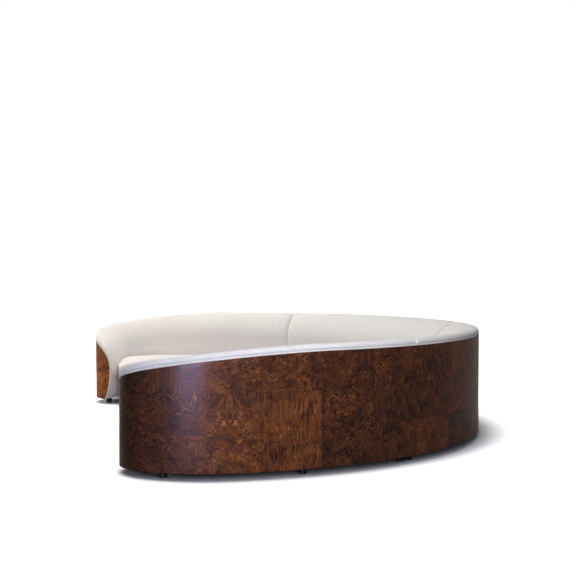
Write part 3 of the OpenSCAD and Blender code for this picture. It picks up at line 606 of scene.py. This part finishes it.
def strap_cloth():
    """Elastic webbing: crossed black ribs with a little beige on their tops."""
    p = material("rubber_webbing")
    x, y, _ = p.split(p.place())
    ribs, cross = p.waves(p.plus(x, y), 0.004), p.waves(p.less(x, y), 0.004)
    tone = p.weigh(p.times(ribs, cross), 0.5, 0.5)
    colour = p.ramp(tone, [(0.1, (0.012, 0.012, 0.013)), (0.9, (0.075, 0.07, 0.06))])
    return p.end(colour, tone, 0.0006, 0.8, Roughness=0.8, Specular_IOR_Level=0.3)


def felted():
    """Black non-woven dust cover with matted fibres."""
    p = material("nonwoven")
    here = p.place()
    fibres, dots = p.noise(here, 350.0, 4.0, 0.7, 2.0), p.cells(here, 420.0)
    tone = p.plus(p.times(fibres, 0.7), p.times(dots, 0.3))
    colour = p.ramp(tone, [(0.3, (0.010, 0.010, 0.011)), (0.8, (0.045, 0.045, 0.048))])
    return p.end(colour, tone, 0.0004, 0.7, Roughness=0.92, Specular_IOR_Level=0.2)


def black_foot():
    """Moulded black foot with a faint satin grain and scuffs near the floor."""
    p = material("black_foot")
    here = p.place()
    grain = p.noise(here, 700.0, 3.0, 0.6)
    low = p.span(p.split(here)[2], 0.012, 0.0, smooth=True)
    scuff = p.times(low, p.noise(here, 120.0, 4.0, 0.7))
    colour = p.mix(scuff, (0.010, 0.010, 0.011), (0.07, 0.068, 0.065))
    return p.end(colour, grain, 0.0001, 0.6, Roughness=0.55, Specular_IOR_Level=0.05)


def zinc():
    """Zinc-plated steel with fine rolled lines and a mottled passivated tint."""
    p = material("zinc_steel")
    here = p.place()
    x, y, z = p.split(here)
    rolled = p.streaks([(x, 60.0), (y, 60.0), (z, 1400.0)], 4.0, 0.6)
    colour = p.ramp(p.cells(here, 160.0), [(0.1, (0.52, 0.53, 0.55)), (0.8, (0.66, 0.66, 0.62))])
    rough = p.span(rolled, 0.3, 0.7, 0.26, 0.42)
    return p.end(colour, rolled, 0.00005, 0.5, Roughness=rough, Metallic=1.0)


FABRIC, WELT, VENEER = fabric(), cord_cloth(), veneer()
PLY_FLAT, PLY_UPRIGHT = plywood("ply_flat", True), plywood("ply_upright", False)
PLIES, CORE = shell_edge(), shell_inside()
STRAP, FELT, FOOT, ZINC = strap_cloth(), felted(), black_foot(), zinc()


# Bent shell with eased edges
EASED_R, SHELL_ROWS, INNER_ROWS = 1.2, 26, 6


def shell_ring(t):
    """The shell's section as points in metres, its (o, z) pairs, and each strip's material."""
    lo, hi = low_edge(t), top_edge(t)
    r = min(EASED_R, 0.3 * (hi - lo))
    straight = hi - lo - 2 * r
    slant = 1 / max(0.5, float(np.dot(-outward(turn_at(t)), inward(t))))
    corner = [(r * (1 - math.cos(a)), r * (1 - math.sin(a)))
              for a in np.linspace(0, math.pi / 2, 5)]
    points = [(x, lo + y) for x, y in corner[::-1]]
    points += [(0.0, lo + r + straight * s) for s in np.linspace(0, 1, SHELL_ROWS)[1:-1]]
    points += [(x, hi - y) for x, y in corner] + [(SHELL_T - x, hi - y) for x, y in corner[::-1]]
    core = [(SHELL_T, hi - r - straight * s) for s in np.linspace(0, 1, INNER_ROWS)[1:-1]]
    mats = [0] * len(points) + [1] * len(core) + [0] * len(corner)
    points += core + [(SHELL_T - x, lo + y) for x, y in corner]
    return section(t, [(o * slant, z) for o, z in points]), points, mats


def make_shell(name):
    arm, left = "arm" in name, name.startswith("left")
    if arm:
        ts = spread(JOINT + HALF_GAP, HOOK_END, 14) + over_nose(1, 40.6)
    else:
        ts = spread(HALF_GAP, JOINT - HALF_GAP, 16)
    rings, pairs, mats = zip(*(shell_ring(t) for t in ts))
    v = np.array([[z for _, z in p + p[:1]] for p in pairs]) / 1000
    u = np.repeat(np.array(ts)[:, None] / 1000 * (-1 if left else 1), v.shape[1], 1)
    ob = skin(name + "_bent_shell", rings, np.stack([u, v], -1), left, 40, strip_mats=mats[0],
              cap_mat=2, cap_uvs=np.array(pairs[0]) / 1000)
    finish_piece(ob, name, [name + "_shell"], [VENEER, CORE, PLIES])


# Padded back, rim and arm
def rim_line(g, k, c):
    """The rim from the welt at height g to its crest at c, where it is k high."""
    e = min(k, RIM_H)
    return smooth_line([(3, g + 0.33 * e), (1.2, g + 0.44 * e), (3.5, g + 0.66 * k),
                        (11, g + 0.86 * k), (21, c - 0.03 * k), (CREST_O, c)])


def back_ring(t, back_o, bottom, step_o, step_z, pinched):
    """The pad's (o, z) pairs: up its rear and the step under the wood, rim, roll and face."""
    h, k, g = top_edge(t), rim_at(t) - pinched, top_edge(t, SWELL)
    c, d = g + k, depth_at(t) - pinched
    drop = max(ROLL_LEAST, ROLL_SHARE * (ROLL_FULL - (WOOD_TOP - h) * ROLL_SLOPE))
    low = min(SEAT_H, c - drop - 4)
    floor_z = min(bottom, low - 3)
    step = max(step_z, floor_z + 1)
    points = [(back_o, floor_z), (back_o, step), (step_o, step), (step_o, h + WOOD_CLEAR),
              (WELT_SIDE, h + WOOD_CLEAR), (WELT_SIDE, g + 0.3 * min(k, RIM_H))]
    points += rim_line(g, k, c)
    for i in range(1, ROLL_STEPS + 1):
        a = math.pi / 2 * i / ROLL_STEPS
        points.append((CREST_O + (d * FACE_SHARE - CREST_O) * math.sin(a) ** (2 / ROLL_N),
                       c - drop * (1 - max(0.0, math.cos(a)) ** (2 / ROLL_N))))
    x0, z0 = points[-1]
    points += [(x0 + (d - x0) * u, z0 + (low - z0) * u) for u in np.linspace(0, 1, 9)[1:]]
    return points + [(d, low + (floor_z - low) * u) for u in (0.35, 0.7, 1.0)]


def nose_foot(t):
    """Over the nose: where the pad's ring starts, its lowest point and its step."""
    lapped = low_edge(t - 12) > FOOT_H + 3
    start_o = WELT_SIDE if lapped else FRAME_O + 0.4
    low = low_edge(t, SWELL) + 2
    step_o = start_o + FIT_GAP if t > WOOD_END else FRAME_O
    return start_o, low, step_o, low_edge(t) - 2.5 if lapped else low + 1


def pad_steps(arm):
    if not arm:
        return from_seam(HALF_GAP, JOINT - HALF_GAP, 46, 14, both=True)
    ts = from_seam(JOINT + HALF_GAP, HOOK_END, 46, 13) + [HOOK_END + 5] + over_nose(3, 36.9)
    return ts + [WOOD_END + SWELL * u for u in (0.12, 0.25, 0.4, 0.55, 0.7, 0.82, 0.91, 0.96)]


def soft_waves(t, s):
    """Slight unevenness of the stuffing, in millimetres, the same in every run."""
    return (0.55 * math.sin(t / 171 + 1.3 * math.sin(s / 140))
            + 0.4 * math.sin(t / 83 + s / 97 + 1.1) + 0.25 * math.sin(t / 41 - s / 63 + 0.4))


def stuffed(pairs, t, full, phase):
    """The ring with its rim, roll and face swollen, full being the share of the swell."""
    q = np.array(pairs)
    for i in range(FIRST_STUFFED, len(q) - LAST_STUFFED + 1):
        tangent = q[i + 1] - q[i - 1]
        normal = np.array([tangent[1], -tangent[0]]) / max(1e-6, np.linalg.norm(tangent))
        above_seat = ease((q[i][1] - SEAT_H - SEAT_CROWN) / 30)
        fade = ease((i - FIRST_STUFFED) / 8) * above_seat * full
        more = STUFF_FACE * ease((i - FACE_FIRST) / FACE_OVER)
        q[i] -= normal * (soft_waves(t + phase, i * 12.0) + STUFF_ALL + more) * fade
    return q


def puff_end(rings):
    """The arm's end face swells a little, shrinking toward its upright middle line."""
    last = rings[-1]
    across = last[-1] - last[0]
    across[2] = 0
    d = across / np.linalg.norm(across)
    forward = np.array([d[1], -d[0], 0.0])
    if np.dot(forward, last[0] - rings[-12][0]) < 0:
        forward = -forward
    o = (last - last[0]) @ d
    w = o.max() - o.min()
    mid = (o.max() + o.min()) / 2
    z0, z1 = last[:, 2].min(), last[:, 2].max()
    goal_z = np.clip(last[:, 2], z0 + 0.42 * w, z1 - 0.42 * w)
    more = []
    for i in range(1, PUFF_RINGS + 1):
        s = 0.92 * (1 - math.cos(math.pi / 2 * i / PUFF_RINGS)) ** 0.9
        p = last + np.outer((mid - o) * s, d)
        p[:, 2] = last[:, 2] + (goal_z - last[:, 2]) * s
        more.append(p + forward * (math.sin(math.pi / 2 * (i / PUFF_RINGS)) * PUFF_OUT / 1000))
    return rings + more


def make_back(name):
    arm, left = "arm" in name, name.startswith("left")
    a, b = (JOINT + HALF_GAP, 2 * WOOD_END) if arm else (HALF_GAP, JOINT - HALF_GAP)
    ts, rings = pad_steps(arm), []
    for t in ts:
        if t <= HOOK_END + 1:
            pairs = back_ring(t, REAR_SHARE * depth_at(t), DECK_H + 2, FRAME_O, top_edge(t) - HOOK,
                              drawn_in(t, a, b))
        else:
            pairs = back_ring(t, *nose_foot(t), 0)
        full = ease(min(t - a, b - t) / SEAM_FADE)
        rings.append(section(t, stuffed(pairs, t, full, LEFT_PHASE if left else 0)))
    rings = puff_end(rings) if arm else rings
    us = ts + [ts[-1] + PUFF_STEP * i for i in range(1, len(rings) - len(ts) + 1)]
    ob = skin(name + "_padded_back", rings, ring_uvs(rings, us, -1 if left else 1), left, 48)
    finish_piece(ob, name, [name + "_back_pad"], [FABRIC])


# Padded seat
FRONT_START = face(SHOULDER_END, SOFA_DEPTH)
SEAT_END_Y = SOFA_Y / 2 - (SOFA_Y - SETBACK)
PATH = (FRONT_START[1] - (SEAT_END_Y + CORNER_R), math.pi / 2 * CORNER_R,
        NOSE_EDGE[0] - FRONT_START[0] - CORNER_R - EDGE_R / 2)


def seat_ring(w, pinched):
    """(o, z) pairs for a seat w deep: its rear, its crowned top and its rolled front."""
    r, b, roll = min(EDGE_R, 0.3 * w), min(REAR_R, 0.1 * w), min(FRONT_ROLL, 0.3 * w)
    rise, lean = SEAT_CROWN * min(1.0, w / FULL_CROWN_W), min(pinched, 0.1 * w)
    low, top = DECK_H + 1, SEAT_H - pinched
    points = [(lean, low + (top - b - low) * u) for u in (0, 0.3, 0.6, 0.9)]
    points += smooth_line([(lean, top - b), (lean + 0.3 * b, top - 0.3 * b), (lean + b, top)])[:-1]
    for u in np.linspace(0, 1, 26):
        points.append((lean + b + (w - roll - b - 2 * lean) * u,
                       top + rise * math.sin(math.radians(CROWN_TURN * u))))
    for a in np.linspace(0, math.pi / 2, 12)[1:]:
        points.append((w - lean - roll + roll * math.sin(a),
                       top + rise * 0.5 - (r + rise * 0.5) * (1 - math.cos(a))))
    z0 = points[-1][1]
    return points + [(w - lean - 4 * u, z0 + (low - z0) * u) for u in (0.25, 0.5, 0.75, 1.0)]


def front_path(f, inset=0.0):
    """The arm seat's front line at the share f of its length: straight, corner, straight."""
    a, l = FRONT_START, f * sum(PATH)
    if l < PATH[0]:
        return np.array([a[0] + inset, a[1] - l])
    if l < PATH[0] + PATH[1]:
        u = (l - PATH[0]) / CORNER_R
        return np.array([a[0] + CORNER_R - (CORNER_R - inset) * math.cos(u),
                         SEAT_END_Y + CORNER_R - (CORNER_R - inset) * math.sin(u)])
    return np.array([a[0] + CORNER_R + l - PATH[0] - PATH[1], SEAT_END_Y + inset])


def seat_line(t, front, pinched):
    """A seat's ring stands on a line from behind to its front, drawn in at a seam."""
    return t, section(t, [(depth_at(t) + SOFT_GAP, 0)])[0][:2] * 1000, front, pinched


def seat_lines(arm):
    """The lines of a seat's rings, from its first seam on."""
    if not arm:
        a, b = HALF_GAP, JOINT - HALF_GAP
        return [seat_line(t, face(t, SOFA_DEPTH), drawn_in(t, a, b))
                for t in from_seam(a, b, 48, 18, both=True)]
    a = JOINT + HALF_GAP
    lines = [seat_line(t, face(t, SOFA_DEPTH), drawn_in(t, a, 2 * a))
             for t in from_seam(a, SHOULDER_END, 48, 18)]
    reach = 1 + (EDGE_R / 2 - 6) / sum(PATH)
    for v in np.linspace(0, 1, 61)[1:]:
        t = SHOULDER_END + (WOOD_END - 6 - SHOULDER_END) * v
        lines.append(seat_line(t, front_path(v * reach), 4 * ease((v - 0.85) / 0.15)))
    return lines


def make_seat(name):
    arm, left = "arm" in name, name.startswith("left")
    lines, rings = seat_lines(arm), []
    for t, p, q, pinched in lines:
        w = float(np.linalg.norm(q - p))
        d = (q - p) / w
        s = np.array(seat_ring(w, pinched))
        s[WAVY_FROM:WAVY_FROM + WAVY_COUNT, 1] += [
            soft_waves(t + SEAT_PHASE, 11 * i) * ease(i / 8) * ease((WAVY_COUNT - i) / 5)
            for i in range(WAVY_COUNT)]
        ring = np.column_stack([p[0] + d[0] * s[:, 0], p[1] + d[1] * s[:, 0], s[:, 1]])
        # The seat's end rolls down toward its front edge, also where it is narrow
        into = np.maximum(0, ring[:, 1] - SEAT_END_Y)
        limit = SEAT_H + SEAT_CROWN + 3 - END_DROP * np.exp(-into / END_REACH)
        ring[:, 2] = limit - END_SOFT * np.log1p(np.exp((limit - ring[:, 2]) / END_SOFT))
        rings.append(ring / 1000)
    uvs = ring_uvs(rings, [l[0] for l in lines], -1 if left else 1)
    ob = skin(name + "_padded_seat", rings, uvs, left, 55)
    finish_piece(ob, name, [name + "_seat_pad"], [FABRIC])


# Upholstered front panel with rounded edges
PANEL_R, PANEL_SHY = 7.0, (1.6, 0.4, 0.0)  # its ends ease back over their first two rings


def panel_lines(arm):
    """The panel's front and back line in plan."""
    start, stop = (JOINT + HALF_GAP, SHOULDER_END) if arm else (HALF_GAP, JOINT - HALF_GAP)
    ts = spread(start, stop, 18)
    fs = np.linspace(0, 1 + (EDGE_R / 2 - 3) / sum(PATH), 76)[1:] if arm else []
    return [[face(t, o) for t in ts] + [front_path(f, SOFA_DEPTH - o) for f in fs]
            for o in (FRONT_O, FRONT_O - PANEL_T)]


def make_panel(name):
    left = name.startswith("left")
    front, back = panel_lines("arm" in name)
    z0, z1, r = FOOT_H + 2, DECK_H - FIT_GAP, PANEL_R
    turns = np.linspace(0, math.pi / 2, 6)
    shape = [(r - r * math.cos(a), z0 + r - r * math.sin(a)) for a in turns[::-1]]
    shape += [(0, z0 + r + (z1 - z0 - 2 * r) * u) for u in np.linspace(0, 1, 12)[1:-1]]
    shape += [(r - r * math.cos(a), z1 - r + r * math.sin(a)) for a in turns]
    shape += [(PANEL_T, z1), (PANEL_T, z0)]
    rings = []
    for i, (p, q) in enumerate(zip(front, back)):
        d = (q - p) / np.linalg.norm(q - p)
        shy = PANEL_SHY[min(i, len(front) - 1 - i, 2)]
        rings.append(np.array([[*(p + d * max(x, shy)), z] for x, z in shape]) / 1000)
    uvs = ring_uvs(rings, run_along(front), -1 if left else 1)
    ob = skin(name + "_front_cover", rings, uvs, left, 55)
    finish_piece(ob, name, [name + "_front_panel"], [FABRIC])


# Welt cord along the wood's edge
WELT_SIDES, WELT_LIFT, WELT_IN = 14, 0.2, 0.5


def edge_point(u):
    """(t, z) on the arm's wood: its top edge for u up to 1, its bowed front edge up to 2."""
    if u <= 1:
        t = JOINT + HALF_GAP + (WOOD_END - JOINT - HALF_GAP) * math.sin(math.pi / 2 * u)
        return np.array([t, top_edge(t)])
    z = NOSE_Z - (NOSE_Z - FOOT_H) * (u - 1)
    return np.array([WOOD_END - BOW_R + math.sqrt(BOW_R ** 2 - (NOSE_Z - z) ** 2), z])


def welt_line(arm):
    """(t, z) points along the cord, each with its direction away from the wood."""
    if not arm:
        return [(np.array([HALF_GAP + (JOINT - 2 * HALF_GAP) * u, WOOD_TOP]), (0.0, 1.0))
                for u in np.linspace(0, 1, 130)]
    line = []
    for u in [*np.linspace(0, 1, 200), *np.linspace(1, 2, 60)[1:]]:
        d = edge_point(min(2, u + 0.004)) - edge_point(max(0, u - 0.004))
        d /= np.linalg.norm(d)
        line.append((edge_point(u), (-d[1], d[0])))
    return line


def make_welt(name):
    rings = []
    for p, out in welt_line("arm" in name):
        ring = []
        for j in range(WELT_SIDES):
            a = -2 * math.pi * j / WELT_SIDES
            k = WELT_R * (1 + math.sin(a)) + WELT_LIFT
            q = face(p[0] + out[0] * k, WELT_R + WELT_IN + WELT_R * math.cos(a))
            ring.append([q[0] / 1000, q[1] / 1000, (p[1] + out[1] * k) / 1000])
        rings.append(np.array(ring))
    uvs = ring_uvs(rings, run_along([r[0] for r in rings]) * 1000)
    ob = skin(name + "_welt_cord", rings, uvs, name.startswith("left"), 60)
    finish_piece(ob, name, [name + "_welt"], [WELT])


for section_name in ("left_arm", "left_middle", "right_middle", "right_arm"):
    make_shell(section_name)
    make_back(section_name)
    make_seat(section_name)
    make_panel(section_name)
    make_welt(section_name)

# The frame's CAD nodes stay and get their materials
FINISHES = {
    "_base": PLY_FLAT, "_cap_rail": PLY_FLAT, "_ribs": PLY_UPRIGHT, "_end_boards": PLY_UPRIGHT,
    "_back_sheet": PLY_UPRIGHT, "_seat_rails": PLY_UPRIGHT, "_webbing": STRAP, "_dust_cover": FELT,
    "_feet": FOOT, "_jaws": ZINC, "_connectors": ZINC, "_pins": ZINC,
}
for node_name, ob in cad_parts.items():
    for ending, finish in FINISHES.items():
        if node_name.endswith(ending):
            if not ob.material_slots:
                ob.data.materials.append(finish)
            for s in ob.material_slots:
                s.material = finish

# Camera at the photograph's viewing angle, in metres and degrees
CAMERA_AT, CAMERA_HEADING = (7.987, -1.757, 1.2385), (-0.9768, 0.2143, 0)
CAMERA_DIP, CAMERA_LENS = 1.436, 67.63

camera = bpy.data.objects.new("camera", bpy.data.cameras.new("camera"))
bpy.context.scene.collection.objects.link(camera)
camera.data.sensor_width = 36.0
camera.data.lens = CAMERA_LENS
camera.data.clip_end = 200.0
camera.location = CAMERA_AT
dip = math.radians(CAMERA_DIP)
heading = Vector(CAMERA_HEADING).normalized()
look = Vector((heading.x * math.cos(dip), heading.y * math.cos(dip), -math.sin(dip)))
camera.rotation_mode = "QUATERNION"
camera.rotation_quaternion = look.to_track_quat("-Z", "Y")
bpy.context.scene.camera = camera

# Studio: a white floor that keeps the shadow, an even sky, a soft sun and seven soft lamps
FLOOR_HALF, FLOOR_Z = 60.0, -0.0003
SKY_LEVEL = 0.08  # what the sky gives as light, where the camera sees it at 1


def stage_material():
    p = material("studio_floor")
    seen, mirrored = p.rays()
    shade = p.mix(mirrored, (0.30, 0.30, 0.30), (0.90, 0.90, 0.90))
    # Seen by the camera it is white and keeps the real shadow, with a painted contact shadow where
    # the object closes it in
    contact = p.put("AmbientOcclusion", {"Distance": 0.24}, out=1, samples=12)
    shadowed_page = p.mix(p.span(contact, 0.50, 0.95), (0.80, 0.80, 0.80), (2.8, 2.8, 2.8))
    shade = p.mix(seen, shade, shadowed_page)
    p.put("OutputMaterial", {"Surface": p.put("BsdfDiffuse", {"Color": shade})})
    return p.owner


floor_mesh = bpy.data.meshes.new("studio_floor")
floor_mesh.from_pydata([(x * FLOOR_HALF, y * FLOOR_HALF, FLOOR_Z)
                        for x, y in ((-1, -1), (1, -1), (1, 1), (-1, 1))], [], [(0, 1, 2, 3)])
floor = bpy.data.objects.new("studio_floor", floor_mesh)
floor.data.materials.append(stage_material())
bpy.context.scene.collection.objects.link(floor)

sky = Paint(bpy.data.worlds.new("studio"))
bpy.context.scene.world = sky.owner
level = sky.span(sky.calc("MAXIMUM", *sky.rays()), 0.0, 1.0, SKY_LEVEL, 1.0)
backdrop = sky.put("Background", {"Color": (1, 1, 1, 1), "Strength": level})
sky.put("OutputWorld", {"Surface": backdrop})


def lamp(name, kind, where, target, energy, colour, **settings):
    data = bpy.data.lights.new(name, kind)
    data.energy, data.color = energy, colour
    for key, value in settings.items():
        setattr(data, key, value)
    ob = bpy.data.objects.new(name, data)
    ob.location = where
    ob.rotation_mode = "QUATERNION"
    ob.rotation_quaternion = (Vector(target) - Vector(where)).to_track_quat("-Z", "Y")
    bpy.context.scene.collection.objects.link(ob)
    ob.visible_camera = False
    return ob


lamp("overhead", "SUN", (0.0, -0.6, 2.0), (0, 0, 0), 1.3, (0.99, 0.99, 1.0),
     angle=math.radians(45))
lamp("softbox", "AREA", (-1.9, -0.6, 3.2), (-1.4, -0.2, 0.5), 45, (1.0, 0.975, 0.925),
     shape="SQUARE", size=1.8)
lamp("blue_key", "AREA", (5.2, -0.6, 1.2), (1.95, -0.3, 0.6), 76, (0.79, 0.83, 0.97),
     shape="SQUARE", size=1.5)
lamp("wall_top", "AREA", (3.9, 0.1, 2.1), (1.95, 0.05, 0.5), 3.5, (1.0, 0.97, 0.98),
     shape="SQUARE", size=1.2, spread=math.radians(75))
lamp("left_fill", "AREA", (-3.5, -3.5, 1.2), (0.8, 0.9, 0.55), 56, (1.0, 0.98, 0.95),
     shape="SQUARE", size=1.2)
lamp("nose_light", "AREA", (-0.5, 0.5, 2.3), (-1.55, -1.25, 0.6), 0.45, (1.0, 0.96, 0.90),
     shape="SQUARE", size=0.5, spread=math.radians(34))
lamp("open_side", "AREA", (0.4, -4.2, 1.6), (-1.6, -1.3, 0.3), 2.2, (1.0, 0.76, 0.62),
     shape="SQUARE", size=1.0, spread=math.radians(40))
# This one shows only as a sheen on the wood
card = lamp("blue_window", "AREA", (4.9, -2.5, 1.35), (1.95, -0.6, 0.62), 2300, (0.50, 0.50, 1.0),
            shape="RECTANGLE", size=1.5, size_y=2.5)
card.visible_diffuse = False

bpy.context.scene.view_settings.view_transform = "Standard"
